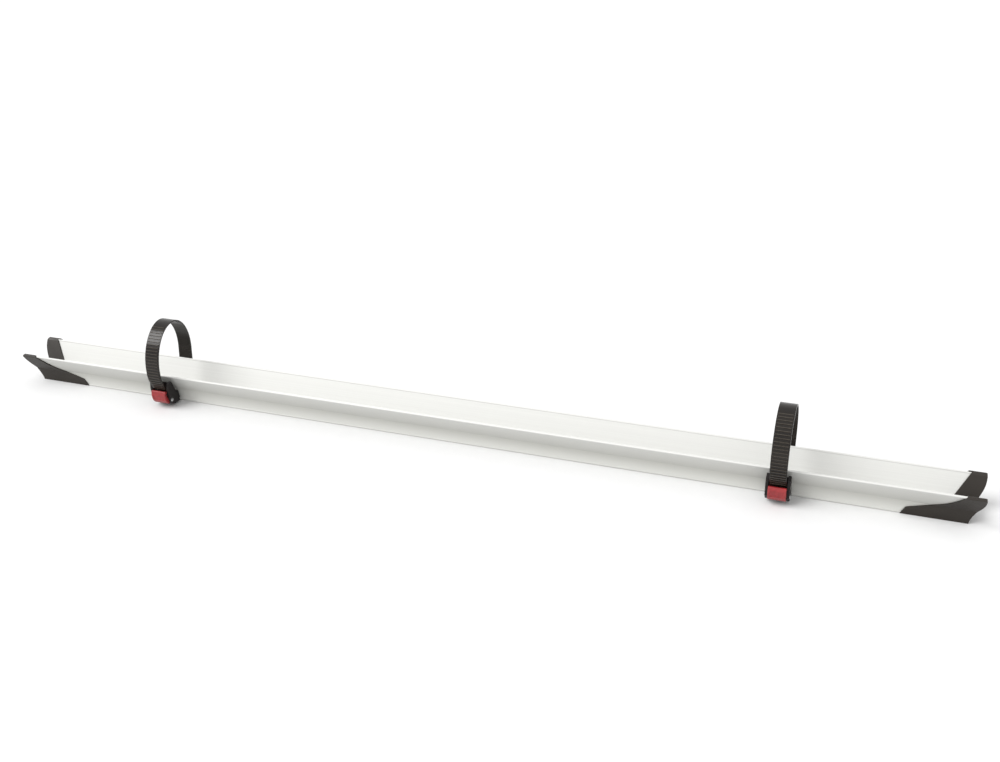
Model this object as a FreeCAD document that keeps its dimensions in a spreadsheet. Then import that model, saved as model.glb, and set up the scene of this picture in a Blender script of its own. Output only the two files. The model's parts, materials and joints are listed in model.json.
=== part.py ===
import FreeCAD, Part
import math
import os
import Sketcher

# A bicycle carrier's wheel rail: an extruded channel with end caps and two ladder straps.
# +X runs along the rail, -Y is the buckle side, +Z is up.
# The origin is at the middle of the rail's length and width, on its underside.

SIZES = [
    # rail section
    ("rail_half", 632.5, "half the cut length of the extrusion"),
    ("base_half", 12.5, "half width of the lower box at the underside"),
    ("kink_half", 15.0, "half width where the wings meet the lower box"),
    ("kink_height", 19.0, "height of the channel floor and of the kink"),
    ("tip_half", 28.0, "half distance between the bead centres"),
    ("tip_height", 43.2, "height of the bead centres"),
    ("wing_wall", 2.2, "wing thickness measured across"),
    ("box_wall", 1.9, "lower wall thickness measured across"),
    ("web_wall", 2.0, "thickness of the channel floor"),
    ("lip_wall", 2.0, "thickness of the slot lips"),
    ("slot_half", 4.0, "half width of the slot under the rail"),
    ("bead_radius", 1.4, "rounded bead along each wing tip"),
    ("foot_half", 13.5, "half width over the small foot"),
    ("foot_height", 1.2, "height of the foot"),
    ("foot_top", 2.2, "where the foot's slope meets the wall"),
    ("floor_round", 3.0, "radius between the channel floor and a wing"),
    ("kink_round", 2.5, "radius outside the kink"),
    # end caps
    ("cap_end", 650.0, "end face of a cap"),
    ("cap_toe", 559.0, "start of the skirt at the underside"),
    ("cap_skin", 1.4, "cap wall over the rail"),
    ("cap_cover", 1.1, "cap wall over the beads"),
    ("rim_bulge", 0.6, "extra wall outside the beads"),
    ("rim_tuck", 0.3, "extra wall inside the beads"),
    ("cap_round", 0.9, "rounding along the cap's rim and kinks"),
    ("cap_corner", 2.8, "corner between the rim and the end face"),
    ("cap_inner_low", 616.0, "start of the inner skin at the channel floor"),
    ("cap_inner_high", 631.2, "start of the inner skin at the wing tip"),
    ("plug_start", 592.0, "inner end of the plug in the lower box"),
    ("plug_gap", 0.2, "play of the plug in the lower box"),
    ("cap_screw_x", 600.0, "place of the cap screws"),
    # strap stations
    ("strap_x", 420.0, "middle of each strap along the rail"),
    ("strap_width", 20.3, "strap width"),
    ("strap_thickness", 2.0, "strap thickness without ribs"),
    ("apex_y", -5.0, "highest line of the loop"),
    ("apex_z", 116.6, "height of the loop"),
    ("front_reach", 44.0, "how far the loop stands in front of its apex"),
    ("front_drop", 56.6, "from the apex down to where the front strand is upright"),
    ("back_reach", 39.0, "how far the loop stands behind its apex"),
    ("back_drop", 50.6, "from the apex down to where the back strand is upright"),
    ("entry_z", 56.0, "where the front strand starts to bend into the buckle"),
    ("entry_radius", 36.0, "radius of that bend"),
    ("entry_lean", 25.5, "lean of the strap inside the buckle, in degrees"),
    ("strap_tip_z", 25.0, "height of the strap's free end"),
    ("back_leave_z", 58.0, "where the back strand runs straight to its eye"),
    ("rib_pitch", 4.3, "distance from rib to rib"),
    ("rib_height", 0.8, "rib height above the strap"),
    ("rib_crest", 1.0, "flat top of a rib"),
    ("rib_ramp", 0.7, "length of a rib's slope on the side of the strap's tip"),
    ("rib_catch", 0.2, "length of a rib's slope on the other side"),
    ("rib_root", 0.3, "depth of a rib's root in the strap"),
    ("rib_inset", 1.3, "plain border beside the ribs"),
    ("first_rib", 6.5, "distance of the first rib from the strap's tip"),
    ("last_rib_z", 114.5, "height of the highest rib"),
    ("eye_radius", 4.0, "radius of the strap's eye"),
    ("pin_y", 25.3, "strap pin position"),
    ("pin_z", 16.0, "strap pin position"),
    ("pin_radius", 1.5, "radius of both kinds of pin"),
    ("pin_play", 0.06, "radial clearance of a turning bore"),
    ("pin_head_radius", 2.4, "radius of a pin's heads"),
    ("pin_head", 0.8, "thickness of a pin's heads"),
    # strap base
    ("bar_half", 10.9, "half length along the rail of the bar through the box"),
    ("bar_low", 6.0, "underside of the bar"),
    ("bar_high", 14.0, "top of the bar"),
    ("bar_front", -24.0, "front end of the bar"),
    ("bar_roof", 1.0, "wall left above the screw in the bar"),
    ("window_play", 0.2, "play of the bar in its windows"),
    ("flange_half", 13.0, "half length of the rear flange"),
    ("flange_low", 4.2, "underside of the flange and of the buckle's heel"),
    ("flange_high", 16.4, "top of the flange and of the buckle's heel"),
    ("flange_back", 17.8, "rear face of the flange"),
    ("ear_root", 0.6, "depth of the ears' root in the flange"),
    ("ear_inside", 10.5, "inner face of each ear"),
    ("ear_radius", 4.6, "radius of the ears"),
    # buckle
    ("cheek_inside", 11.1, "inner face of each cheek"),
    ("cheek_outside", 14.6, "outer face of each cheek"),
    ("cheek_corner", 1.6, "rounding of the cheeks' front corners"),
    ("cheek_edge", 0.5, "rounding round the cheeks' outer faces"),
    ("core_front", -27.0, "front face of the core"),
    ("core_throat", 18.6, "height where the core's front starts to lean"),
    ("sill_front", -31.5, "front of the sill below the lever"),
    ("leg_hole", 1.6, "depth of the hole for the spring's fixed leg"),
    ("lever_pin_y", -36.7, "lever pin position"),
    ("lever_pin_z", 13.0, "lever pin position"),
    # lever and spring
    ("lever_half", 10.85, "half width of the lever"),
    ("hub_radius", 4.3, "lever hub round its pin"),
    ("chin_round", 3.2, "rounding of the lever's lower front"),
    ("lip_round", 1.0, "rounding of the lever's upper lip and waist"),
    ("lever_edge", 0.8, "rounding round the lever's ends"),
    ("panel_depth", 0.5, "depth of the thumb panel in the lever's face"),
    ("panel_border", 2.2, "plain border round the thumb panel"),
    ("spring_room", 3.9, "half width of the spring's room in the lever"),
    ("coil_radius", 2.6, "spring coil, to the middle of the wire"),
    ("wire_radius", 0.35, "spring wire"),
    ("coil_pitch", 0.95, "distance from turn to turn"),
    ("coil_turns", 6.0, "turns in the coil"),
    # screws
    ("buckle_screw_y", -19.5, "place of the screw under the buckle"),
    ("screw_radius", 1.6, "shank of the small screws"),
    ("screw_head_radius", 3.0, "head of the small screws"),
    ("screw_seat", 0.9, "wall between the buckle screw's head and the bar"),
    ("screw_cone", 1.3, "height of the buckle screw's head"),
    ("cap_head", 1.6, "height of the cap screw's head"),
    ("drive_radius", 1.2, "hexagon sockets, over their corners"),
    ("drive_depth", 0.8, "depth of the hexagon sockets"),
    # slot nuts
    ("nut_x", 250.0, "place of each slot nut"),
    ("nut_half_x", 10.0, "half length of a nut"),
    ("nut_half_y", 10.2, "half width of a nut"),
    ("nut_low", 2.1, "underside of a nut"),
    ("nut_high", 7.1, "top of a nut"),
    ("nut_corner", 1.5, "rounding of a nut's upright edges"),
    ("thread_radius", 2.5, "core radius of the M6 thread"),
]

POINTS = [
    # end cap seen from the front: distance from the toe or the end face, and height
    ("knee", 5.7, 10.3, "from the toe: end of the skirt's steep start"),
    ("low_swoosh", 30.5, 18.0, "from the toe: the long shallow part of the edge"),
    ("mid_swoosh", -39.3, 27.4, "from the end: where the edge turns up"),
    ("high_swoosh", -25.0, 40.5, "from the end: just below the rim"),
    ("rim_swoosh", -20.5, 45.7, "from the end: the edge reaches the rim"),
    ("nose_top", 0.0, 39.5, "from the end: the end face starts to curve in"),
    ("nose_bow", -3.9, 26.0, "from the end: above the nose's waist"),
    ("nose_waist", -10.0, 15.0, "from the end: the most slanted part"),
    ("nose_heel", -15.0, 0.0, "from the end: the underside"),
    # buckle cheek seen along the rail: distance across and height
    ("cheek_foot", -17.0, 2.6, "lower corner next to the rail"),
    ("cheek_rest", -23.6, 18.0, "the rear edge leaves the rail's wall"),
    ("cheek_peak", -31.6, 39.0, "rear top corner"),
    ("cheek_brow", -39.8, 37.0, "front top corner"),
    ("cheek_front", -41.0, 28.0, "front edge beside the lever's lip"),
    ("cheek_chin", -39.5, 12.0, "front edge below the pin"),
    ("cheek_toe", -34.0, 4.6, "lower front corner"),
    # buckle core
    ("core_back", -21.0, 18.0, "the core leans away from the wing"),
    ("core_peak", -28.4, 35.0, "rear top corner"),
    ("core_brow", -31.0, 35.0, "front top corner, behind the strap"),
    ("sill_low", -31.5, 3.8, "lower front corner of the sill"),
    ("sill_back", -19.0, 3.0, "lower rear corner of the sill"),
    # lever
    ("lever_heel", -38.6, 6.6, "lower end behind the face"),
    ("lever_chin", -42.0, 9.0, "lower end of the face"),
    ("lever_belly", -45.0, 14.0, "lower part of the face"),
    ("lever_face", -46.2, 21.5, "foremost line of the face"),
    ("lever_lip", -44.8, 27.4, "upper lip"),
    ("tooth_back", -43.2, 27.6, "top of the tooth"),
    ("tooth_tip", -40.2, 26.2, "tip of the tooth"),
    ("tooth_under", -39.6, 24.6, "catch face of the tooth"),
    ("tooth_root", -42.4, 22.8, "root of the tooth"),
    ("lever_waist", -41.2, 17.3, "the lever's arm above the hub"),
]

doc = FreeCAD.newDocument("wheel_rail")
sheet = doc.addObject("Spreadsheet::Sheet", "Sizes")
aliases = set()


def name_cell(cell, alias, value):
    """Put a plain number in a cell of the sheet and name the cell."""
    sheet.set(cell, str(value))
    sheet.setAlias(cell, alias)
    aliases.add(alias)


for row, (alias, value, note) in enumerate(SIZES, start=1):
    sheet.set("A%d" % row, note)
    name_cell("B%d" % row, alias, value)
for row, (alias, across, up, note) in enumerate(POINTS, start=len(SIZES) + 1):
    sheet.set("A%d" % row, note)
    name_cell("B%d" % row, alias + "_across", across)
    name_cell("C%d" % row, alias + "_up", up)
doc.recompute()

SIDES = (("left", -1), ("right", 1))
FAR = 800.0  # longer than anything here
CLEAR = 1.0  # how far a cut reaches past the surface it starts from
TINY = 0.05  # less than any real distance here
nodes = []


def size(expression):
    """The value of an expression in the sheet's names."""
    result = sheet.evalExpression(expression)
    return float(getattr(result, "Value", result))


def bound(expression):
    """The expression with each sheet name written as Sizes.name, for setExpression."""
    words = []
    word = ""
    for letter in expression + " ":
        if letter.isalnum() or letter == "_":
            word += letter
            continue
        words.append("Sizes." + word if word in aliases else word)
        words.append(letter)
        word = ""
    return "".join(words).strip()


def at(name):
    """The pair of expressions for a named point."""
    return name + "_across", name + "_up"


def place_of(name):
    """Where a named point is, as numbers."""
    return tuple(size(expression) for expression in at(name))


def keep(thing, label):
    """Name a finished sub-part and put it on the list to write."""
    thing.Label = label
    nodes.append(thing)
    return thing


# ---- sketches and features -------------------------------------------------------------


def origin_plane(body, role):
    return [plane for plane in body.Origin.OriginFeatures if plane.Role == role][0]


def new_sketch(body, name, role, offset=None):
    sketch = body.newObject("Sketcher::SketchObject", name)
    sketch.AttachmentSupport = [(origin_plane(body, role), "")]
    sketch.MapMode = "FlatFace"
    if offset:
        sketch.setExpression("AttachmentOffset.Base.z", bound(offset))
    return sketch


def pin_point(sketch, shape, point, place):
    """Hold one point of a sketch's shape at a pair of expressions."""
    for kind, expression in zip(("DistanceX", "DistanceY"), place):
        rule = Sketcher.Constraint(kind, -1, 1, shape, point, size(expression))
        sketch.setExpression("Constraints[%d]" % sketch.addConstraint(rule), bound(expression))


def draw_outline(sketch, corners):
    """A closed outline through corners, each a pair of expressions."""
    points = [FreeCAD.Vector(size(across), size(up), 0) for across, up in corners]
    lines = []
    for start, end in zip(points, points[1:] + points[:1]):
        lines.append(sketch.addGeometry(Part.LineSegment(start, end), False))
    for line, after in zip(lines, lines[1:] + lines[:1]):
        sketch.addConstraint(Sketcher.Constraint("Coincident", line, 2, after, 1))
    for line, corner in zip(lines, corners):
        pin_point(sketch, line, 1, corner)


def draw_circle(sketch, centre, radius):
    middle = FreeCAD.Vector(size(centre[0]), size(centre[1]), 0)
    circle = Part.Circle(middle, FreeCAD.Vector(0, 0, 1), size(radius))
    shape = sketch.addGeometry(circle, False)
    pin_point(sketch, shape, 3, centre)
    rule = sketch.addConstraint(Sketcher.Constraint("Radius", shape, size(radius)))
    sketch.setExpression("Constraints[%d]" % rule, bound(radius))


def mirrored(half):
    """A symmetric outline from the corners of its right half, listed from the bottom up."""
    left = [("-(%s)" % across, up) for across, up in reversed(half)]
    return half + left


def pad(body, sketch, length):
    """Pad a sketch by half the length on each side of its plane."""
    feature = body.newObject("PartDesign::Pad", sketch.Name + "Pad")
    feature.Profile = sketch
    feature.SideType = "Symmetric"
    feature.setExpression("Length", bound(length))
    doc.recompute()
    return feature


def pocket(body, sketch, length):
    """Cut a sketch out of the body, by half the length on each side of its plane."""
    before = body.Shape.Volume
    feature = body.newObject("PartDesign::Pocket", sketch.Name + "Pocket")
    feature.Profile = sketch
    feature.SideType = "Symmetric"
    feature.setExpression("Length", bound(length))
    doc.recompute()
    if body.Shape.Volume > before - TINY:
        raise RuntimeError(sketch.Label + " cuts nothing")
    return feature


def round_edges(body, radius, wanted):
    """Fillet the edges of the body's last feature that wanted(edge) picks."""
    base = body.Tip
    edges = ["Edge%d" % n for n, edge in enumerate(base.Shape.Edges, start=1) if wanted(edge)]
    if not edges:
        raise RuntimeError(body.Label + " has no such edge")
    feature = body.newObject("PartDesign::Fillet", "Round")
    feature.Base = (base, edges)
    feature.setExpression("Radius", bound(radius))
    doc.recompute()
    return feature


def along_x(places, reach=0.3):
    """A test for edges along X that pass through one of the (y, z) places."""

    def wanted(edge):
        box = edge.BoundBox
        if box.XLength < CLEAR or box.YLength > TINY or box.ZLength > TINY:
            return False
        return any(math.hypot(box.YMin - y, box.ZMin - z) < reach for y, z in places)

    return wanted


def on_faces_at(half):
    """A test for the edges round the two end faces at plus and minus half along X."""

    def wanted(edge):
        box = edge.BoundBox
        return box.XLength < TINY and abs(abs(box.XMin) - half) < TINY

    return wanted


# ---- rail ------------------------------------------------------------------------------


def wall_at(height, inwards="0"):
    """Half width of the lower box at a height, less a distance inwards."""
    lean = "(kink_half - base_half) / kink_height"
    return "(base_half + %s * (%s) - %s)" % (lean, height, inwards)


def wing_at(height, inwards="0"):
    """Half width over a wing's outer face at a height, less a distance inwards."""
    lean = "(tip_half + wing_wall / 2 - kink_half) / (tip_height - kink_height)"
    return "(kink_half + %s * ((%s) - kink_height) - %s)" % (lean, height, inwards)


def make_rail():
    """The extrusion with its windows and holes; also returns it as it was before those."""
    body = doc.addObject("PartDesign::Body", "Rail")
    web_low = "kink_height - web_wall"
    outside = [
        ("slot_half", "0"),
        ("foot_half", "0"),
        ("foot_half", "foot_height"),
        (wall_at("foot_top"), "foot_top"),
        ("kink_half", "kink_height"),
        (wing_at("tip_height"), "tip_height"),
        (wing_at("tip_height", "wing_wall"), "tip_height"),
        ("kink_half - wing_wall", "kink_height"),
    ]
    cavity = [
        (wall_at(web_low, "box_wall"), web_low),
        (wall_at("lip_wall", "box_wall"), "lip_wall"),
        ("slot_half", "lip_wall"),
    ]
    right = [("-(%s)" % across, up) for across, up in reversed(cavity)]
    section = new_sketch(body, "RailSection", "YZ_Plane")
    draw_outline(section, mirrored(outside) + right + cavity)
    pad(body, section, "2 * rail_half")
    beads = new_sketch(body, "RailBeads", "YZ_Plane")
    for side in ("", "-"):
        draw_circle(beads, (side + "tip_half", "tip_height"), "bead_radius")
    pad(body, beads, "2 * rail_half")
    inner_y = size("kink_half - wing_wall")
    kink_z = size("kink_height")
    round_edges(body, "floor_round", along_x([(inner_y, kink_z), (-inner_y, kink_z)]))
    kink_y = size("kink_half")
    plain = round_edges(body, "kink_round", along_x([(kink_y, kink_z), (-kink_y, kink_z)]))
    windows = new_sketch(body, "StrapWindows", "XZ_Plane")
    for side in ("", "-"):
        near = "%s(strap_x - bar_half - window_play)" % side
        far = "%s(strap_x + bar_half + window_play)" % side
        low = "bar_low - window_play"
        high = "bar_high + window_play"
        draw_outline(windows, [(near, low), (far, low), (far, high), (near, high)])
    pocket(body, windows, "4 * kink_half")
    holes = new_sketch(body, "CapScrewHoles", "XY_Plane", "kink_height")
    for side in ("", "-"):
        draw_circle(holes, (side + "cap_screw_x", "0"), "screw_radius + plug_gap")
    pocket(body, holes, "4 * web_wall")
    keep(body, "rail")
    return plain


# ---- end caps --------------------------------------------------------------------------


def across_prism(corners, length):
    """A solid along X from corners (y, z)."""
    points = [FreeCAD.Vector(0, y, z) for y, z in corners]
    return Part.Face(Part.makePolygon(points + points[:1])).extrude(FreeCAD.Vector(length, 0, 0))


def side_prism(corners):
    """A solid along Y, on both sides of the middle, from corners (x, z)."""
    points = [FreeCAD.Vector(x, -FAR / 2, z) for x, z in corners]
    return Part.Face(Part.makePolygon(points + points[:1])).extrude(FreeCAD.Vector(0, FAR, 0))


def both_sides(right):
    """A symmetric closed outline from its right half."""
    return right + [(-y, z) for y, z in reversed(right)]


def curve_through(points):
    curve = Part.BSplineCurve()
    curve.interpolate(points)
    return curve.toShape()


def cap_side_view():
    """The cap seen from the side: swoosh edge, end face and tucked-in nose, as one face."""
    toe = size("cap_toe")
    end = size("cap_end")
    top = size("rim_swoosh_up")

    def spot(start, name):
        return FreeCAD.Vector(start + size(name + "_across"), 0, size(name + "_up"))

    start = FreeCAD.Vector(toe, 0, 0)
    knee = spot(toe, "knee")
    rise = [knee, spot(toe, "low_swoosh")]
    rise += [spot(end, name) for name in ("mid_swoosh", "high_swoosh", "rim_swoosh")]
    nose = [spot(end, name) for name in ("nose_top", "nose_bow", "nose_waist", "nose_heel")]
    corner = size("cap_corner")
    bend = corner * (1 - math.sqrt(0.5))
    before = FreeCAD.Vector(end - corner, 0, top)
    crown = FreeCAD.Vector(end - bend, 0, top - bend)
    after = FreeCAD.Vector(end, 0, top - corner)
    edges = [
        Part.LineSegment(start, knee).toShape(),
        curve_through(rise),
        Part.LineSegment(rise[-1], before).toShape(),
        Part.Arc(before, crown, after).toShape(),
        Part.LineSegment(after, nose[0]).toShape(),
        curve_through(nose),
        Part.LineSegment(nose[-1], start).toShape(),
    ]
    return Part.Face(Part.Wire(edges))


def cap_front_view(toe):
    """The cap's V section, seen along the rail, before the rail is taken out of it."""
    skin = size("cap_skin")
    lean = size("(tip_half + wing_wall / 2 - kink_half) / (tip_height - kink_height)")
    across = skin * math.hypot(1, lean)
    floor = size("kink_height") + skin
    rim = size("tip_height")
    right = [
        (size(wall_at("0")) + across, 0),
        (size("kink_half") + across, size("kink_height")),
        (size(wing_at("tip_height")) + across + size("rim_bulge"), rim),
        (size("tip_half") + across, size("tip_height + bead_radius + cap_cover")),
        (size("tip_half"), size("tip_height + bead_radius + cap_cover")),
        (size(wing_at("tip_height", "wing_wall")) - across - size("rim_tuck"), rim),
        (size("kink_half - wing_wall") - across + lean * skin, floor),
    ]
    solid = across_prism(both_sides(right), FAR)
    solid.translate(FreeCAD.Vector(toe, 0, 0))
    bends = right[1:5]
    pick = along_x(bends + [(-y, z) for y, z in bends])
    return solid.makeFillet(size("cap_round"), [edge for edge in solid.Edges if pick(edge)])


def channel_room():
    """The channel between the wings up to the line where the cap's inner skin starts."""
    floor = size("kink_height")
    rim = size("tip_height")
    above = size("tip_height + 3 * bead_radius")
    half_low = size("kink_half - wing_wall")
    half_high = size(wing_at("tip_height + 3 * bead_radius", "wing_wall"))
    section = both_sides([(half_low, floor), (half_high, above)])
    low = size("cap_inner_low")
    slope = (size("cap_inner_high") - low) / (rim - floor)
    side = [(0, floor), (low, floor), (low + slope * (above - floor), above), (0, above)]
    return across_prism(section, FAR).common(side_prism(side))


def box_room(start, end, play):
    """A length of the rail's lower box and slot, down past the underside."""
    top = size("kink_height - web_wall")
    lip = size("lip_wall")
    right = [
        (size("slot_half") - play, -CLEAR),
        (size("slot_half") - play, lip + play),
        (size(wall_at("lip_wall", "box_wall")) - play, lip + play),
        (size(wall_at("kink_height - web_wall", "box_wall")) - play, top - play),
    ]
    room = across_prism(both_sides(right), end - start)
    room.translate(FreeCAD.Vector(start, 0, 0))
    return room


def rim_room(play):
    """Everything inside the rail's walls and below its channel floor."""
    right = [
        (size(wall_at("0")) - play, -CLEAR),
        (size("kink_half") - play, size("kink_height")),
    ]
    return across_prism(both_sides(right), size("rail_half"))


def make_end_cap(plain_rail):
    """The right cap: skirt, inner skin, nose and a plug that fills the rail's open box."""
    face = cap_side_view()
    face.translate(FreeCAD.Vector(0, -FAR / 2, 0))
    side = face.extrude(FreeCAD.Vector(0, FAR, 0))
    cap = cap_front_view(size("cap_toe")).common(side)
    cap = cap.cut(channel_room())
    cap = cap.cut(rim_room(TINY))
    cap = cap.cut(plain_rail.Shape)
    reach = size("rail_half") + size("cap_skin")
    plug = box_room(size("plug_start"), reach, size("plug_gap"))
    above_ground = Part.makeBox(FAR, FAR, FAR, FreeCAD.Vector(0, -FAR / 2, 0))
    cap = cap.fuse(plug.common(above_ground)).removeSplitter()
    hole = Part.makeCylinder(size("screw_radius"), FAR)
    hole.translate(FreeCAD.Vector(size("cap_screw_x"), 0, size("bar_low")))
    return cap.cut(hole)


def make_end_caps(plain_rail):
    right = doc.addObject("Part::Feature", "EndCap")
    right.Shape = make_end_cap(plain_rail)
    keep(right, "end_cap_right")
    left = doc.addObject("Part::Mirroring", "EndCapMirror")
    left.Source = right
    left.Normal = FreeCAD.Vector(1, 0, 0)
    keep(left, "end_cap_left")


# ---- straps ----------------------------------------------------------------------------


def outward(direction):
    """Outward normal of the strap where it runs in this direction, from tip to eye."""
    return FreeCAD.Vector(0, -direction.z, direction.y)


def quarter(drop, reach, apex, side):
    """An ellipse taller than wide, whose parameter runs from 0 at the strap's apex down one side.

    The side is -1 for the front and 1 for the back.
    """
    middle = apex - FreeCAD.Vector(0, 0, drop)
    return Part.Ellipse(apex, middle + FreeCAD.Vector(0, side * reach, 0), middle)


def strap_side(inwards):
    """One face of the strap from its tip to its eye, a distance inside the outer face."""
    apex = FreeCAD.Vector(0, size("apex_y"), size("apex_z") - inwards)
    front = quarter(size("front_drop") - inwards, size("front_reach") - inwards, apex, -1)
    back = quarter(size("back_drop") - inwards, size("back_reach") - inwards, apex, 1)
    front_end = front.value(math.pi / 2)
    lean = math.radians(size("entry_lean"))
    radius = size("entry_radius") - inwards
    hub = FreeCAD.Vector(0, front_end.y + radius, size("entry_z"))

    def on_bend(angle):
        return hub - FreeCAD.Vector(0, radius * math.cos(angle), radius * math.sin(angle))

    upwards = FreeCAD.Vector(0, -math.sin(lean), math.cos(lean))
    bend_low = on_bend(lean)
    outer_low = bend_low + outward(upwards) * inwards
    tip = bend_low - upwards * ((outer_low.z - size("strap_tip_z")) / upwards.z)
    centre_z = size("apex_z - back_drop")
    leave = math.acos((size("back_leave_z") - centre_z) / size("back_drop"))
    back_end = back.value(leave)
    downwards = back.tangent(leave)[0]
    downwards = downwards * math.copysign(1, -downwards.z)
    eye = FreeCAD.Vector(0, size("pin_y"), size("pin_z"))
    foot = eye + outward(downwards) * (size("eye_radius") - inwards)
    wire = [
        Part.LineSegment(tip, bend_low).toShape(),
        Part.Arc(bend_low, on_bend(lean / 2), on_bend(0)).toShape(),
        Part.LineSegment(on_bend(0), front_end).toShape(),
        Part.ArcOfEllipse(front, 0, math.pi / 2).toShape(),
        Part.ArcOfEllipse(back, 0, leave).toShape(),
        Part.LineSegment(back_end, foot).toShape(),
    ]
    return wire, tip, foot, upwards


def strap_band():
    """The strap without ribs: tip strand, loop, back strand and the eye round its pin."""
    inwards = size("strap_thickness")
    outer, tip, foot, upwards = strap_side(0)
    inner, inner_tip, inner_foot, upwards = strap_side(inwards)
    nib = (tip + inner_tip) * 0.5 - upwards * inwards * 0.5
    ends = [Part.Arc(inner_tip, nib, tip).toShape(), Part.LineSegment(foot, inner_foot).toShape()]
    half = size("strap_width") / 2
    face = Part.Face(Part.Wire(Part.__sortEdges__(outer + inner + ends)))
    face.translate(FreeCAD.Vector(-half, 0, 0))
    band = face.extrude(FreeCAD.Vector(2 * half, 0, 0))
    along = FreeCAD.Vector(1, 0, 0)
    low = FreeCAD.Vector(-half, size("pin_y"), size("pin_z"))
    knuckle = Part.makeCylinder(size("eye_radius"), 2 * half, low, along)
    bore = Part.makeCylinder(size("pin_radius + pin_play"), 2 * half, low, along)
    return band.fuse(knuckle).cut(bore).removeSplitter()


def rib_places():
    """Outer-face points and directions of the ribs, evenly spaced up the front strand."""
    front = Part.Wire(strap_side(0)[0][:4])
    pitch = size("rib_pitch")
    per_rib = 10
    steps = front.discretize(Distance=pitch / per_rib)
    first = round(size("first_rib") / pitch * per_rib)
    places = []
    for index in range(first, len(steps) - 1, per_rib):
        if steps[index].z > size("last_rib_z"):
            break
        direction = steps[index + 1] - steps[index - 1]
        places.append((steps[index], direction.normalize()))
    return places


def rib(point, direction):
    """One rib: a ramp towards the tip and a steep catch face on the other side."""
    half_crest = direction * size("rib_crest") * 0.5
    sunk = point - outward(direction) * size("rib_root")
    top = point + outward(direction) * size("rib_height")
    corners = [
        sunk - half_crest - direction * size("rib_ramp"),
        sunk + half_crest + direction * size("rib_catch"),
        top + half_crest,
        top - half_crest,
    ]
    half = size("strap_width / 2 - rib_inset")
    face = Part.Face(Part.makePolygon(corners + corners[:1]))
    face.translate(FreeCAD.Vector(-half, 0, 0))
    return face.extrude(FreeCAD.Vector(2 * half, 0, 0))


def place_at_strap(thing, side):
    thing.setExpression("Placement.Base.x", bound("%d * strap_x" % side))


def make_strap(name, side):
    strap = doc.addObject("Part::Feature", "Strap" + name)
    ribs = [rib(point, direction) for point, direction in rib_places()]
    strap.Shape = strap_band().fuse(ribs).removeSplitter()
    place_at_strap(strap, side)
    keep(strap, "ladder_strap_" + name)


def make_strap_base(name, side):
    """The bar through the rail's windows, with its rear flange and the ears of the strap pin."""
    body = doc.addObject("PartDesign::Body", "Base" + name)
    bar = new_sketch(body, "Bar" + name, "YZ_Plane")
    corners = [
        ("bar_front", "bar_low"),
        ("flange_back", "bar_low"),
        ("flange_back", "bar_high"),
        ("bar_front", "bar_high"),
    ]
    draw_outline(bar, corners)
    pad(body, bar, "2 * bar_half")
    flange = new_sketch(body, "Flange" + name, "YZ_Plane")
    corners = [
        (wall_at("flange_low"), "flange_low"),
        ("flange_back", "flange_low"),
        ("flange_back", "flange_high"),
        (wall_at("flange_high"), "flange_high"),
    ]
    draw_outline(flange, corners)
    pad(body, flange, "2 * flange_half")
    ears = new_sketch(body, "Ears" + name, "YZ_Plane")
    root = "flange_back - ear_root"
    tip = "pin_y + ear_radius"
    corners = [
        (root, "flange_low"),
        ("pin_y", "flange_low"),
        (tip, "pin_z - ear_radius / 2"),
        (tip, "pin_z + ear_radius"),
        ("pin_y - ear_radius / 2", "pin_z + ear_radius"),
        (root, "flange_high"),
    ]
    draw_outline(ears, corners)
    pad(body, ears, "2 * flange_half")
    gap = new_sketch(body, "EarGap" + name, "XY_Plane", "pin_z")
    corners = [
        ("-ear_inside", "flange_back"),
        ("ear_inside", "flange_back"),
        ("ear_inside", "pin_y + 2 * ear_radius"),
        ("-ear_inside", "pin_y + 2 * ear_radius"),
    ]
    draw_outline(gap, corners)
    pocket(body, gap, "8 * ear_radius")
    ear_top = (size("pin_y + ear_radius"), size("pin_z + ear_radius"))
    round_edges(body, "ear_radius - window_play", along_x([ear_top]))
    bore = new_sketch(body, "EarBore" + name, "YZ_Plane")
    draw_circle(bore, ("pin_y", "pin_z"), "pin_radius")
    pocket(body, bore, "4 * flange_half")
    pilot = new_sketch(body, "BasePilot" + name, "XY_Plane")
    draw_circle(pilot, ("0", "buckle_screw_y"), "screw_radius")
    pocket(body, pilot, "2 * (bar_high - bar_roof)")
    place_at_strap(body, side)
    keep(body, "strap_base_" + name)


# ---- buckles ---------------------------------------------------------------------------


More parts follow.
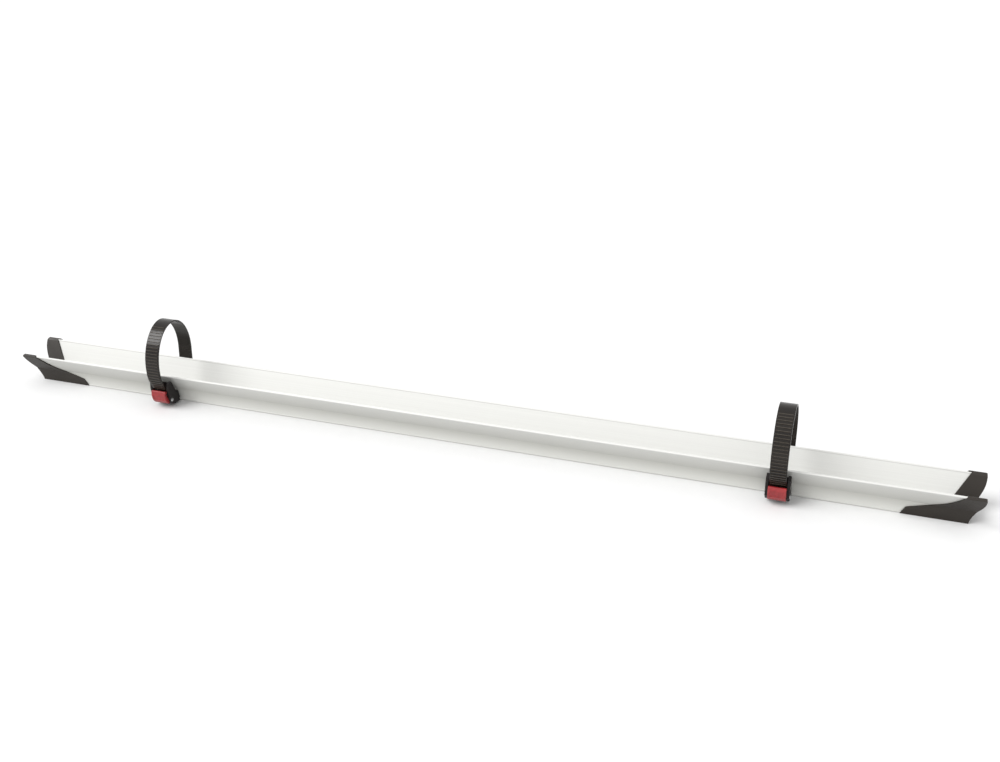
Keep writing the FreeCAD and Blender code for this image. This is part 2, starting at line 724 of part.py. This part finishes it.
def make_buckle_body(name, side):
    """Two cheeks joined by a core that holds the bar's end and guides the strap."""
    body = doc.addObject("PartDesign::Body", "Buckle" + name)
    cheeks = new_sketch(body, "Cheeks" + name, "YZ_Plane")
    words = ("foot", "rest", "peak", "brow", "front", "chin", "toe")
    corners = [at("cheek_" + word) for word in words]
    draw_outline(cheeks, corners)
    pad(body, cheeks, "2 * cheek_outside")
    sharp = [place_of("cheek_" + word) for word in ("peak", "brow", "chin", "toe")]
    round_edges(body, "cheek_corner", along_x(sharp))
    round_edges(body, "cheek_edge", on_faces_at(size("cheek_outside")))
    throat = new_sketch(body, "Throat" + name, "YZ_Plane")
    front = "2 * cheek_front_across"
    low = "-2 * cheek_toe_up"
    high = "2 * cheek_peak_up"
    draw_outline(throat, [("0", low), (front, low), (front, high), ("0", high)])
    pocket(body, throat, "2 * cheek_inside")
    core = new_sketch(body, "Core" + name, "YZ_Plane")
    corners = [
        ("-(%s)" % wall_at("flange_low"), "flange_low"),
        ("-(%s)" % wall_at("flange_high"), "flange_high"),
        at("core_back"),
        at("core_peak"),
        at("core_brow"),
        ("core_front", "core_throat"),
        ("core_front", "bar_low"),
        ("sill_front", "bar_low"),
        at("sill_low"),
        at("sill_back"),
    ]
    draw_outline(core, corners)
    pad(body, core, "2 * cheek_inside")
    socket = new_sketch(body, "Socket" + name, "YZ_Plane")
    low = "bar_low"
    high = "bar_high"
    draw_outline(socket, [("0", low), ("bar_front", low), ("bar_front", high), ("0", high)])
    pocket(body, socket, "2 * bar_half")
    pivot = new_sketch(body, "LeverBore" + name, "YZ_Plane")
    draw_circle(pivot, ("lever_pin_y", "lever_pin_z"), "pin_radius")
    pocket(body, pivot, "4 * cheek_outside")
    leg = new_sketch(body, "LegHole" + name, "XZ_Plane", "-core_front")
    leg_x = "-coil_pitch * coil_turns / 2"
    draw_circle(leg, (leg_x, "lever_pin_z + coil_radius"), "wire_radius + pin_play")
    pocket(body, leg, "2 * leg_hole")
    drill = new_sketch(body, "ScrewHole" + name, "XY_Plane")
    draw_circle(drill, ("0", "buckle_screw_y"), "screw_head_radius")
    pocket(body, drill, "2 * (bar_low - screw_seat)")
    shank = new_sketch(body, "ShankHole" + name, "XY_Plane")
    draw_circle(shank, ("0", "buckle_screw_y"), "screw_radius")
    pocket(body, shank, "2 * bar_low + 2 * screw_seat")
    place_at_strap(body, side)
    keep(body, "buckle_body_" + name)


def make_release_lever(name, side):
    """The red lever: paddle, pawl tooth and a hub with room for the spring."""
    body = doc.addObject("PartDesign::Body", "Lever" + name)
    profile = new_sketch(body, "LeverProfile" + name, "YZ_Plane")
    words = ("lever_heel", "lever_chin", "lever_belly", "lever_face", "lever_lip")
    words += ("tooth_back", "tooth_tip", "tooth_under", "tooth_root", "lever_waist")
    hub_back = "lever_pin_y + hub_radius"
    hub_low = "lever_pin_z - hub_radius"
    hub_high = "lever_pin_z + hub_radius"
    corners = [at(word) for word in words]
    corners += [("lever_pin_y", hub_high), (hub_back, hub_high)]
    corners += [(hub_back, hub_low), ("lever_pin_y", hub_low)]
    draw_outline(profile, corners)
    pad(body, profile, "2 * lever_half")
    hub_corners = [(size(hub_back), size(hub_low)), (size(hub_back), size(hub_high))]
    round_edges(body, "hub_radius - window_play", along_x(hub_corners))
    round_edges(body, "chin_round", along_x([place_of("lever_chin")]))
    rounder = [place_of(word) for word in ("lever_lip", "tooth_back", "tooth_root")]
    round_edges(body, "lip_round", along_x(rounder))
    round_edges(body, "lever_edge", on_faces_at(size("lever_half")))
    panel = new_sketch(body, "Panel" + name, "YZ_Plane")
    low = "lever_belly_up"
    high = "lever_lip_up - panel_border"
    front = "2 * lever_face_across"
    face_low = "lever_belly_across + panel_depth"
    face_high = "lever_face_across + panel_depth"
    corners = [(front, low), (face_low, low), (face_high, "lever_face_up"), (face_high, high), (front, high)]
    draw_outline(panel, corners)
    pocket(body, panel, "2 * (lever_half - panel_border)")
    bore = new_sketch(body, "LeverHole" + name, "YZ_Plane")
    draw_circle(bore, ("lever_pin_y", "lever_pin_z"), "pin_radius + pin_play")
    pocket(body, bore, "4 * lever_half")
    room = new_sketch(body, "SpringRoom" + name, "YZ_Plane")
    low = "lever_pin_z - coil_radius - 2 * wire_radius"
    high = hub_high + " + " + str(CLEAR)
    under = hub_low + " - " + str(CLEAR)
    near = "lever_pin_y - coil_radius - wire_radius - pin_play"
    far = "lever_pin_y + 2 * hub_radius"
    ramp = ["lever_pin_y - coil_radius / 2", "lever_pin_y + coil_radius / 2"]
    corners = [(near, low), (ramp[0], low), (ramp[1], under), (far, under), (far, high), (near, high)]
    draw_outline(room, corners)
    pocket(body, room, "2 * spring_room")
    place_at_strap(body, side)
    keep(body, "release_lever_" + name)


def make_spring(name, side):
    """A torsion spring round the lever pin, with one leg on the core and one on the lever."""
    radius = size("coil_radius")
    wire = size("wire_radius")
    pitch = size("coil_pitch")
    turns = size("coil_turns")
    low = FreeCAD.Vector(radius, 0, -pitch * turns / 2)
    high = FreeCAD.Vector(radius, 0, pitch * turns / 2)
    helix = Part.makeHelix(pitch, pitch * turns, radius)
    helix.translate(FreeCAD.Vector(0, 0, low.z))
    ring = Part.Wire(Part.makeCircle(wire, low, FreeCAD.Vector(0, 1, 0)).Edges)
    coil = Part.Wire(helix).makePipeShell([ring], True, True)
    fixed_length = size("core_front - lever_pin_y + leg_hole - 2 * wire_radius")
    fixed_leg = Part.makeCylinder(wire, fixed_length, low, FreeCAD.Vector(0, -1, 0))
    free_leg = Part.makeCylinder(wire, radius + wire, high, FreeCAD.Vector(0, 1, 0))
    thing = doc.addObject("Part::Feature", "Spring" + name)
    thing.Shape = coil.fuse([fixed_leg, free_leg])
    lying = FreeCAD.Rotation(FreeCAD.Vector(0, 1, 0), 90)
    legs_back = FreeCAD.Rotation(FreeCAD.Vector(1, 0, 0), 180)
    thing.Placement = FreeCAD.Placement(FreeCAD.Vector(0, 0, 0), legs_back * lying)
    thing.setExpression("Placement.Base.y", bound("lever_pin_y"))
    thing.setExpression("Placement.Base.z", bound("lever_pin_z"))
    place_at_strap(thing, side)
    keep(thing, "lever_spring_" + name)


# ---- pins, screws and nuts -------------------------------------------------------------


def cylinder(name, radius, height):
    shape = doc.addObject("Part::Cylinder", name)
    shape.setExpression("Radius", bound(radius))
    shape.setExpression("Height", bound(height))
    return shape


def place(thing, x="0", y="0", z="0", turn=None):
    """Put a primitive at expressions, turned by an angle about Y."""
    if turn:
        axis = FreeCAD.Vector(0, 1, 0)
        thing.Placement = FreeCAD.Placement(FreeCAD.Vector(0, 0, 0), axis, turn)
    for letter, expression in zip("xyz", (x, y, z)):
        thing.setExpression("Placement.Base.%s" % letter, bound(expression))
    return thing


def fuse(name, shapes):
    result = doc.addObject("Part::MultiFuse", name)
    result.Shapes = shapes
    return result


def cut_hexagon(name, blank, height, low):
    """The blank with a hexagon socket of this height from low upwards, on the blank's axis."""
    drive = doc.addObject("Part::Prism", name + "Drive")
    drive.Polygon = 6
    drive.setExpression("Circumradius", bound("drive_radius"))
    drive.setExpression("Height", bound(height))
    place(drive, "0", "0", low)
    screw = doc.addObject("Part::Cut", name)
    screw.Base = blank
    screw.Tool = drive
    return screw


def make_pin(label, side, y, z, half):
    """A pin along X with a flat round head outside each wall it goes through."""
    name = label.title().replace("_", "")
    shank = cylinder(name + "Shank", "pin_radius", "2 * (%s)" % half)
    place(shank, "-(%s)" % half, "0", "0", 90)
    heads = []
    for word, start in (("Near", "-(%s) - pin_head" % half), ("Far", half)):
        head = cylinder(name + word + "Head", "pin_head_radius", "pin_head")
        heads.append(place(head, start, "0", "0", 90))
    pin = fuse(name, [shank] + heads)
    place(pin, "%d * strap_x" % side, y, z)
    keep(pin, label)


def make_buckle_screws():
    """One countersunk screw up through each buckle into its bar."""
    screws = []
    for name, side in SIDES:
        shank = cylinder("BuckleShank" + name, "screw_radius", "bar_high - bar_roof - bar_low")
        place(shank, "0", "0", "bar_low - screw_seat")
        head = doc.addObject("Part::Cone", "BuckleHead" + name)
        head.setExpression("Radius1", bound("screw_head_radius"))
        head.setExpression("Radius2", bound("screw_radius"))
        head.setExpression("Height", bound("screw_cone"))
        place(head, "0", "0", "bar_low - screw_seat - screw_cone")
        blank = fuse("BuckleScrewBlank" + name, [shank, head])
        low = "bar_low - screw_seat - screw_cone - %s" % CLEAR
        screw = cut_hexagon("BuckleScrew" + name, blank, "drive_depth + %s" % CLEAR, low)
        screws.append(place(screw, "%d * strap_x" % side, "buckle_screw_y"))
    keep(fuse("BuckleScrews", screws), "buckle_screws")


def make_cap_screws():
    """One flat-headed screw down through the channel floor into each cap's plug."""
    screws = []
    for name, side in SIDES:
        shank = cylinder("CapShank" + name, "screw_radius", "kink_height - bar_low")
        place(shank, "0", "0", "bar_low")
        head = cylinder("CapHead" + name, "screw_head_radius", "cap_head")
        place(head, "0", "0", "kink_height")
        blank = fuse("CapScrewBlank" + name, [shank, head])
        low = "kink_height + cap_head - drive_depth"
        screw = cut_hexagon("CapScrew" + name, blank, "drive_depth + %s" % CLEAR, low)
        screws.append(place(screw, "%d * cap_screw_x" % side))
    keep(fuse("CapScrews", screws), "cap_screws")


def make_slot_nut(name, side):
    """A flat nut that slides in the lower box and can't turn there."""
    body = doc.addObject("PartDesign::Body", "Nut" + name)
    middle = "(nut_low + nut_high) / 2"
    block = new_sketch(body, "NutBlock" + name, "XY_Plane", middle)
    draw_outline(block, mirrored([("nut_half_x", "-nut_half_y"), ("nut_half_x", "nut_half_y")]))
    pad(body, block, "nut_high - nut_low")

    def upright(edge):
        return edge.BoundBox.ZLength > CLEAR

    round_edges(body, "nut_corner", upright)
    thread = new_sketch(body, "NutThread" + name, "XY_Plane", middle)
    draw_circle(thread, ("0", "0"), "thread_radius")
    pocket(body, thread, "2 * nut_high")
    body.setExpression("Placement.Base.x", bound("%d * nut_x" % side))
    keep(body, "slot_nut_" + name)


# ---- build and write -------------------------------------------------------------------


plain_rail = make_rail()
make_end_caps(plain_rail)
for side_name, side_sign in SIDES:
    make_strap_base(side_name, side_sign)
    make_buckle_body(side_name, side_sign)
    make_release_lever(side_name, side_sign)
    make_spring(side_name, side_sign)
    make_strap(side_name, side_sign)
    make_pin("lever_pin_" + side_name, side_sign, "lever_pin_y", "lever_pin_z", "cheek_outside")
    make_pin("strap_pin_" + side_name, side_sign, "pin_y", "pin_z", "flange_half")
    make_slot_nut(side_name, side_sign)
make_buckle_screws()
make_cap_screws()
doc.recompute()

for thing in doc.Objects:
    if "Invalid" in thing.State or "Error" in thing.State:
        raise RuntimeError("%s failed: %s" % (thing.Label, thing.State))
os.makedirs("parts", exist_ok=True)
for thing in nodes:
    if thing.Shape.isNull() or not thing.Shape.isValid():
        raise RuntimeError(thing.Label + " has no valid shape")
    thing.Shape.exportStep(os.path.join("parts", thing.Label + ".step"))
    box = thing.Shape.BoundBox
    print(thing.Label, "solids", len(thing.Shape.Solids), "volume", round(thing.Shape.Volume), box)
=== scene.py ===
"""The looks of a bicycle carrier wheel rail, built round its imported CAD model.

Every length is in metres, in the CAD model's own frame: X runs along the rail, the buckles are
on the -Y side, and Z is up from the rail's underside.
"""

import json
import math

import bmesh
import bpy
from mathutils import Matrix, Vector

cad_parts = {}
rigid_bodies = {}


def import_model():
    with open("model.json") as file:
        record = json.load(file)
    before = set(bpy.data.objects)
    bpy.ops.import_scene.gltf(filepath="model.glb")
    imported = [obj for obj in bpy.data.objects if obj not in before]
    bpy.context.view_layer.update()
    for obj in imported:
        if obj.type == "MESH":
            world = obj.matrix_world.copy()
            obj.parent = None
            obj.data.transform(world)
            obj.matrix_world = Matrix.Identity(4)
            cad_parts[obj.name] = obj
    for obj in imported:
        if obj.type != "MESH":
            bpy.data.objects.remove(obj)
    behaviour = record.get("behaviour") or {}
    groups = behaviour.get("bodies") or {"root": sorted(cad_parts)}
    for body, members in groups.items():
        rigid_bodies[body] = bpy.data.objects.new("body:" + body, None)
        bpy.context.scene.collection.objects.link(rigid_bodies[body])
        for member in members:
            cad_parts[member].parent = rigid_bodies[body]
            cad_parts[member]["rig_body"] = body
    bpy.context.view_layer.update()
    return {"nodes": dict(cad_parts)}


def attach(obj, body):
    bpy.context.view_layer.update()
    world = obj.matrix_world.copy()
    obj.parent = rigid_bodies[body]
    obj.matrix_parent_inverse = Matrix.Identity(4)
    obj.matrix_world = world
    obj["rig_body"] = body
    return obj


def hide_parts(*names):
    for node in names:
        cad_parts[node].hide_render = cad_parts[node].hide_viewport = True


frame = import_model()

MILLIMETRE = 0.001
SIDES = ("left", "right")


# ---- shader building blocks ------------------------------------------------------------


def new_material(name, **values):
    """A material whose shader has these values, all over the surface."""
    material = bpy.data.materials.new(name)
    material.use_nodes = True
    shader = material.node_tree.nodes["Principled BSDF"]
    for socket, value in values.items():
        shader.inputs[socket.replace("_", " ")].default_value = value
    return material


def connect(material, socket, value):
    """Feeds one socket of the material's shader."""
    shader = material.node_tree.nodes["Principled BSDF"]
    material.node_tree.links.new(value, shader.inputs[socket])


def node(material, kind, inputs, output=0, **settings):
    """Adds a node and returns one of its outputs. Inputs are numbers, colours or outputs."""
    tree = material.node_tree
    made = tree.nodes.new("ShaderNode" + kind)
    for name, value in settings.items():
        setattr(made, name, value)
    for name, value in inputs.items():
        if isinstance(value, bpy.types.NodeSocket):
            tree.links.new(value, made.inputs[name])
        else:
            made.inputs[name].default_value = value
    return made.outputs[output]


def place_on(material, stretch=(1, 1, 1)):
    """The point on the object, in its own frame, with each axis scaled."""
    point = node(material, "TexCoord", {}, "Object")
    return node(material, "Mapping", {"Vector": point, "Scale": stretch})


def noise(material, point, scale, detail=3.0, roughness=0.5):
    inputs = {"Vector": point, "Scale": scale, "Detail": detail, "Roughness": roughness}
    return node(material, "TexNoise", inputs)


def remap(material, value, low, high, from_low=0.3, from_high=0.7):
    """Runs from low to high as the value goes over its own range, and stays within them.

    The range that isn't given is the middle of a noise.
    """
    inputs = {"Value": value, "From Min": from_low, "From Max": from_high}
    inputs.update({"To Min": low, "To Max": high})
    return node(material, "MapRange", inputs)


def calculate(material, operation, first, second):
    return node(material, "Math", {0: first, 1: second}, operation=operation)


def mix_colours(material, share, first, second):
    inputs = {"Factor": share, "A": first, "B": second}
    return node(material, "Mix", inputs, "Result", data_type="RGBA")


def bump(material, height, distance, strength=1.0, under=None):
    """Turns a height from 0 to 1 into a normal, with distance its real depth."""
    inputs = {"Height": height, "Distance": distance, "Strength": strength}
    if under is not None:
        inputs["Normal"] = under
    return node(material, "Bump", inputs)


def edge_mask(material, radius):
    """1 on rounded edges and corners, 0 on open faces."""
    rounded = node(material, "Bevel", {"Radius": radius}, samples=4)
    normal = node(material, "NewGeometry", {}, "Normal")
    facing = node(material, "VectorMath", {0: rounded, 1: normal}, "Value", operation="DOT_PRODUCT")
    on_edge, on_face = 0.85, 0.995
    return remap(material, facing, 1.0, 0.0, on_edge, on_face)


# ---- materials -------------------------------------------------------------------------


def rail_aluminium():
    """Silver anodised extrusion: fine die lines along the rail on a soft satin ground.

    The outside faces of the wings carry painted shade, darker than the channel, most of all down
    in the fold where they meet the lower box. The box is painted lighter again towards its foot,
    painted light from the bright floor, and a thin painted contact shadow runs along the ground.
    """
    made = new_material("rail_aluminium", Metallic=0.15, Specular_IOR_Level=0.3)
    lines = noise(made, place_on(made, (1.5, 900, 900)), 1.0, 4.0, 0.65)
    broad = noise(made, place_on(made, (3, 40, 40)), 1.0, 2.0)
    grain = noise(made, place_on(made), 2600, 2.0)
    light = (0.615, 0.615, 0.595, 1)
    dark = (0.555, 0.555, 0.535, 1)
    # Painted shade: the outside faces of the wings darken to this tone towards the fold.
    painted_fold_shade = (0.465, 0.465, 0.435, 1)
    # Painted light: the box turns this lighter tone towards its foot, standing for light from the
    # bright floor.
    painted_foot_light = (0.64, 0.64, 0.61, 1)
    # Painted shadow: this dark tone is a thin contact shadow along the rail's foot.
    painted_contact_shadow = (0.44, 0.44, 0.42, 1)
    rim, fold, box_low = 44 * MILLIMETRE, 17 * MILLIMETRE, 4 * MILLIMETRE
    foot_high, foot_low = 2.4 * MILLIMETRE, 1.2 * MILLIMETRE
    shade_at_rim, shade_at_fold = 0.1, 1.0
    level = 0.1
    point = node(made, "TexCoord", {}, "Object")
    height = node(made, "SeparateXYZ", {"Vector": point}, "Z")
    normal = node(made, "NewGeometry", {}, "Normal")
    upward = node(made, "SeparateXYZ", {"Vector": normal}, "Z")
    # Painted shade on the downward-facing outside faces and on the box, deepest at the fold.
    underneath = remap(made, upward, 0.0, 1.0, level, -level)
    in_box = remap(made, height, 0.0, 1.0, fold + MILLIMETRE, fold)
    outside = calculate(made, "MAXIMUM", underneath, in_box)
    depth = remap(made, height, shade_at_rim, shade_at_fold, rim, fold)
    shaded = calculate(made, "MULTIPLY", outside, depth)
    ground = mix_colours(made, remap(made, lines, 0.0, 0.5), light, dark)
    ground = mix_colours(made, shaded, ground, painted_fold_shade)
    # Painted light: lighter towards the box's foot.
    ground = mix_colours(made, remap(made, height, 0.0, 1.0, fold, box_low), ground, painted_foot_light)
    # Painted contact shadow along the bottom edge, where the rail meets the floor.
    foot = remap(made, height, 0.0, 1.0, foot_high, foot_low)
    connect(made, "Base Color", mix_colours(made, foot, ground, painted_contact_shadow))
    satin = remap(made, broad, 0.47, 0.51)
    connect(made, "Roughness", calculate(made, "ADD", satin, remap(made, lines, -0.04, 0.05)))
    grained = bump(made, grain, 0.010 * MILLIMETRE, 0.5)
    connect(made, "Normal", bump(made, lines, 0.015 * MILLIMETRE, 0.6, grained))
    return made


def moulded_plastic(name, colour, paler_tone, satin, shine, grain_size, grain_depth):
    """A moulded plastic with fine spark-eroded grain, soft flow marks and paler edges.

    Where the mesh marks a rib top, it is paler as well: partly rubbed wear, partly a painted
    highlight.
    """
    made = new_material(name, Specular_IOR_Level=shine)
    flow = noise(made, place_on(made, (20, 60, 60)), 1.0, 3.0)
    spots = noise(made, place_on(made), 420, 4.0)
    edges = edge_mask(made, 0.5 * MILLIMETRE)
    edges = calculate(made, "MULTIPLY", edges, remap(made, spots, 0.1, 0.6))
    # Rib tops are paler: partly rubbed wear, partly a painted highlight on the crests.
    rib_wear_and_sheen = node(made, "Attribute", {}, "Fac", attribute_name="rib_wear_and_sheen")
    rib_wear_and_sheen = calculate(made, "MULTIPLY", rib_wear_and_sheen, remap(made, spots, 0.35, 0.6))
    pale = calculate(made, "MAXIMUM", edges, rib_wear_and_sheen)
    ground = mix_colours(made, remap(made, flow, 0.0, 0.12), colour + (1,), paler_tone + (1,))
    connect(made, "Base Color", mix_colours(made, pale, ground, paler_tone + (1,)))
    connect(made, "Roughness", calculate(made, "ADD", remap(made, spots, -0.05, 0.05), satin))
    grain = node(made, "TexVoronoi", {"Vector": place_on(made), "Scale": 1 / grain_size}, "Distance")
    ripple = bump(made, flow, 0.06 * MILLIMETRE, 0.4)
    connect(made, "Normal", bump(made, grain, grain_depth, 0.5, ripple))
    return made


def cap_plastic():
    return moulded_plastic(
        "cap_plastic",
        colour=(0.019, 0.015, 0.0115),
        paler_tone=(0.060, 0.052, 0.043),
        satin=0.46,
        shine=0.32,
        grain_size=0.35 * MILLIMETRE,
        grain_depth=0.03 * MILLIMETRE,
    )


def black_plastic():
    return moulded_plastic(
        "black_plastic",
        colour=(0.008, 0.006, 0.006),
        paler_tone=(0.034, 0.029, 0.027),
        satin=0.40,
        shine=0.22,
        grain_size=0.30 * MILLIMETRE,
        grain_depth=0.02 * MILLIMETRE,
    )


def strap_plastic():
    return moulded_plastic(
        "strap_plastic",
        colour=(0.0072, 0.0054, 0.0040),
        # The paler tone is worn edges, and on the rib tops also a painted highlight.
        paler_tone=(0.074, 0.063, 0.050),
        satin=0.22,
        shine=0.30,
        grain_size=0.25 * MILLIMETRE,
        grain_depth=0.01 * MILLIMETRE,
    )


def red_plastic():
    """Glossier red plastic, a little darker and patchy where fingers press."""
    made = new_material("red_plastic", IOR=1.5)
    patches = noise(made, place_on(made), 260, 4.0, 0.6)
    spots = noise(made, place_on(made), 900, 3.0)
    bright = (0.315, 0.023, 0.025, 1)
    deep = (0.19, 0.012, 0.014, 1)
    pale = (0.44, 0.075, 0.075, 1)
    ground = mix_colours(made, remap(made, patches, 0.0, 1.0), bright, deep)
    connect(made, "Base Color", mix_colours(made, edge_mask(made, 0.5 * MILLIMETRE), ground, pale))
    connect(made, "Roughness", remap(made, spots, 0.28, 0.42))
    grain = bump(made, spots, 0.02 * MILLIMETRE, 0.5)
    connect(made, "Normal", bump(made, patches, 0.05 * MILLIMETRE, 0.4, grain))
    return made


def bright_steel(name, colour, satin):
    """Plated steel with fine turning marks and slightly cloudy plating."""
    made = new_material(name, Metallic=1.0)
    cloud = noise(made, place_on(made), 300, 4.0)
    turning = noise(made, place_on(made, (4000, 300, 300)), 1.0, 2.0)
    cloudy = tuple(0.72 * part for part in colour)
    tint = mix_colours(made, remap(made, cloud, 0, 1), colour + (1,), cloudy + (1,))
    connect(made, "Base Color", tint)
    connect(made, "Roughness", remap(made, cloud, satin - 0.06, satin + 0.10))
    connect(made, "Normal", bump(made, turning, 0.01 * MILLIMETRE, 0.6))
    return made


def zinc_steel():
    return bright_steel("zinc_steel", (0.66, 0.67, 0.68), 0.28)


def spring_steel():
    return bright_steel("spring_steel", (0.50, 0.48, 0.45), 0.34)


PLASTICS = (cap_plastic, black_plastic, strap_plastic, red_plastic)
METALS = (rail_aluminium, zinc_steel, spring_steel)
FINISHES = {make.__name__: make() for make in PLASTICS + METALS}


# ---- pieces ----------------------------------------------------------------------------


def node_body(name):
    return frame["nodes"][name]["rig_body"]


def copy_of(name):
    """The CAD node's mesh as welded bmesh with its flat faces whole again."""
    mesh = bmesh.new()
    mesh.from_mesh(frame["nodes"][name].data)
    bmesh.ops.remove_doubles(mesh, verts=mesh.verts, dist=0.001 * MILLIMETRE)
    flat = math.radians(0.2)
    bmesh.ops.dissolve_limit(mesh, angle_limit=flat, verts=mesh.verts, edges=mesh.edges)
    return mesh


def mark_rib_tops(mesh):
    """Marks the tops of a strap's ribs, partly rubbed wear and partly a painted highlight:
    four-sided faces that fall away all round.
    """
    rib_wear_and_sheen = mesh.verts.layers.float.new("rib_wear_and_sheen")
    steep = 0.5
    mesh.normal_update()
    for face in mesh.faces:
        falls_away = all(edge.is_convex and edge.calc_face_angle(0) > steep for edge in face.edges)
        if falls_away and len(face.edges) == 4:
            for vertex in face.verts:
                vertex[rib_wear_and_sheen] = 1.0
    return mesh


def show_instead(mesh, name, finish):
    """Makes the bmesh a piece that stands for the CAD node."""
    data = bpy.data.meshes.new(name + "_shape")
    mesh.to_mesh(data)
    mesh.free()
    data.materials.append(FINISHES[finish])
    piece = bpy.data.objects.new(name + "_piece", data)
    bpy.context.scene.collection.objects.link(piece)
    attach(piece, node_body(name))
    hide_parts(name)
    return piece


def round_edges(piece, width, segments=3, angle=32):
    """Rounds every edge sharper than the angle and keeps the flat faces flat."""
    piece.data.shade_smooth()
    bevel = piece.modifiers.new("edges", "BEVEL")
    bevel.width = width
    bevel.segments = segments
    bevel.limit_method = "ANGLE"
    bevel.angle_limit = math.radians(angle)
    bevel.harden_normals = True
    bevel.use_clamp_overlap = True
    weighted = piece.modifiers.new("normals", "WEIGHTED_NORMAL")
    weighted.keep_sharp = True
    return piece


def rounded(name, finish, width, **settings):
    return round_edges(show_instead(copy_of(name), name, finish), width, **settings)


def rounded_strap(name):
    strap = show_instead(mark_rib_tops(copy_of(name)), name, "strap_plastic")
    return round_edges(strap, 0.15 * MILLIMETRE, segments=2)


def dress(name, finish):
    """Gives a CAD node its material and leaves its shape alone."""
    data = frame["nodes"][name].data
    data.materials.clear()
    data.materials.append(FINISHES[finish])


rounded("rail", "rail_aluminium", 0.25 * MILLIMETRE, segments=2)
for side in SIDES:
    rounded("end_cap_" + side, "cap_plastic", 0.7 * MILLIMETRE)
    rounded_strap("ladder_strap_" + side)
    rounded("buckle_body_" + side, "black_plastic", 0.3 * MILLIMETRE)
    rounded("release_lever_" + side, "red_plastic", 0.3 * MILLIMETRE)
    rounded("strap_base_" + side, "black_plastic", 0.4 * MILLIMETRE)
    rounded("slot_nut_" + side, "zinc_steel", 0.3 * MILLIMETRE)
    dress("lever_pin_" + side, "zinc_steel")
    dress("strap_pin_" + side, "zinc_steel")
    dress("lever_spring_" + side, "spring_steel")
dress("cap_screws", "zinc_steel")
dress("buckle_screws", "zinc_steel")


# ---- the room, the light and the camera -------------------------------------------------


def make_floor():
    """A plain pale floor, wide enough to fill the view."""
    reach = 14.0
    mesh = bmesh.new()
    bmesh.ops.create_grid(mesh, x_segments=1, y_segments=1, size=reach)
    data = bpy.data.meshes.new("floor")
    mesh.to_mesh(data)
    mesh.free()
    floor = bpy.data.objects.new("floor", data)
    bpy.context.scene.collection.objects.link(floor)
    made = new_material("floor_paper", Roughness=0.7, Specular_IOR_Level=0.2)
    speckle = noise(made, place_on(made), 60, 2.0)
    darker = (0.69, 0.69, 0.69, 1)
    lighter = (0.71, 0.71, 0.71, 1)
    connect(made, "Base Color", mix_colours(made, speckle, darker, lighter))
    data.materials.append(made)


def make_light():
    """Even light from all round, and one broad soft lamp from the upper left in front."""
    world = bpy.data.worlds.new("studio")
    world.use_nodes = True
    ground = world.node_tree.nodes["Background"]
    ground.inputs["Color"].default_value = (1.0, 1.0, 1.0, 1)
    ground.inputs["Strength"].default_value = 0.98
    bpy.context.scene.world = world
    lamp = bpy.data.lights.new("soft_lamp", "SUN")
    lamp.energy = 2.6
    lamp.angle = math.radians(38)
    stand = bpy.data.objects.new("soft_lamp", lamp)
    bpy.context.scene.collection.objects.link(stand)
    shining = Vector((0.58, 0.42, -0.74))
    stand.rotation_mode = "QUATERNION"
    stand.rotation_quaternion = shining.to_track_quat("-Z", "Y")


def make_camera():
    """Stands where the picture was taken: to the right, above and well in front of the rail."""
    data = bpy.data.cameras.new("camera")
    data.sensor_width = 36
    data.lens = 44.96
    camera = bpy.data.objects.new("camera", data)
    bpy.context.scene.collection.objects.link(camera)
    place = Matrix.Translation((0.5333, -1.3137, 0.8263))
    turn = Matrix.Rotation(math.radians(19.711), 4, "Z")
    tilt = Matrix.Rotation(math.radians(90 - 27.712), 4, "X")
    roll = Matrix.Rotation(math.radians(-1.503), 4, "Z")
    camera.matrix_world = place @ turn @ tilt @ roll
    bpy.context.scene.camera = camera


make_floor()
make_light()
make_camera()
bpy.context.scene.view_settings.view_transform = "Standard"
